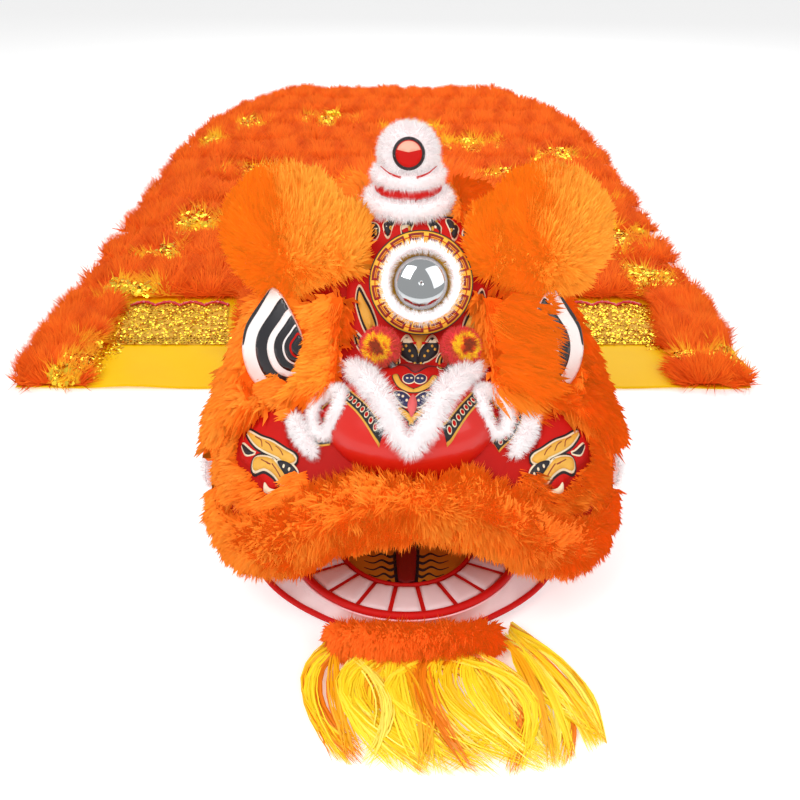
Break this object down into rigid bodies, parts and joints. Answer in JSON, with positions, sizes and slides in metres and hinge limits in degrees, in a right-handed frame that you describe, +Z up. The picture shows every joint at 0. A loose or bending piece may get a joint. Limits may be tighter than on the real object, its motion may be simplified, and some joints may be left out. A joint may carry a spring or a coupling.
{
  "type": "lion dance head",
  "caption": "Lion dance head with a fur lip, brows and horn, a forehead mirror, a hinged lower jaw with a beard, and a fur-covered cape laid out behind.",
  "frame": {"origin": "centre of the bounding box, on the surface that the costume rests on", "axes": "+Z up, the lion faces -Y, its left eye in the picture is towards -X, and the cape runs back along +Y"},
  "size_m": [1.456, 3.4104, 0.6128],
  "materials": {
    "printed_shell": "printed fabric over a stiff layered shell",
    "nose_lacquer": "smooth glossy red",
    "orange_fur": "long soft orange fur",
    "brow_fur": "long soft light orange fur",
    "white_fur": "short white fur",
    "mirror_face": "domed mirror",
    "gold_rim": "gold with a black key pattern",
    "red_fabric": "plain red fabric",
    "eye_panel": "white and black printed panel",
    "pompom_wool": "wool in red, pink and yellow",
    "spring_wire": "coiled wire",
    "hinge_wire": "plain pin",
    "jaw_fabric": "pale fabric over a stiff tray",
    "beard_hair": "glossy yellow strands",
    "cape_satin": "yellow satin",
    "sequin_band": "gold sequins"
  },
  "bodies": {
    "head": {"head_shell": "printed_shell", "forehead_panel": "printed_shell", "nose_bridge_panel": "printed_shell", "cheek_panel_left": "printed_shell", "cheek_panel_right": "printed_shell", "nose_body": "nose_lacquer", "lip_fur": "orange_fur", "face_fur_left": "orange_fur", "face_fur_right": "orange_fur", "mane_fur": "orange_fur", "cape_neck_fur_front": "orange_fur", "cape_neck_fur_back": "orange_fur", "cape_side_fur_left": "orange_fur", "cape_side_fur_right": "orange_fur", "cape_fur_row_01": "orange_fur", "cape_fur_row_02": "orange_fur", "cape_fur_row_03": "orange_fur", "cape_fur_row_04": "orange_fur", "cape_fur_row_05": "orange_fur", "cape_fur_row_06": "orange_fur", "cape_fur_row_07": "orange_fur", "cape_fur_row_08": "orange_fur", "cape_fur_row_09": "orange_fur", "cape_fur_row_10": "orange_fur", "brow_left": "brow_fur", "brow_right": "brow_fur", "nose_fur_v": "white_fur", "nostril_fur_left": "white_fur", "nostril_fur_right": "white_fur", "cheek_fur_strip_left": "white_fur", "cheek_fur_strip_right": "white_fur", "mirror_fur_ring": "white_fur", "horn_collar_fur": "white_fur", "horn_tier_fur": "white_fur", "horn_cap_fur": "white_fur", "mouth_corner_left": "white_fur", "mouth_corner_right": "white_fur", "mirror_disc": "mirror_face", "mirror_rim": "gold_rim", "horn_core": "red_fabric", "horn_band": "red_fabric", "horn_inset": "red_fabric", "eye_left": "eye_panel", "eye_right": "eye_panel", "pompom_left": "pompom_wool", "pompom_right": "pompom_wool", "pompom_spring_left": "spring_wire", "pompom_spring_right": "spring_wire", "cape_cloth": "cape_satin", "cape_front_band_left": "sequin_band", "cape_front_band_right": "sequin_band"},
    "jaw": {"jaw_tray": "jaw_fabric", "teeth_row": "jaw_fabric", "tongue": "red_fabric", "jaw_rim": "red_fabric", "chin_fur": "orange_fur", "beard": "beard_hair", "jaw_pin_left": "hinge_wire", "jaw_pin_right": "hinge_wire"}
  },
  "joints": [
    {"name": "jaw_hinge", "type": "hinge", "parent": "head", "child": "jaw", "pos_m": [0.05, -1.24978, 0.036], "axis": [-1, 0, 0], "range_deg": [0, 20]}
  ]
}
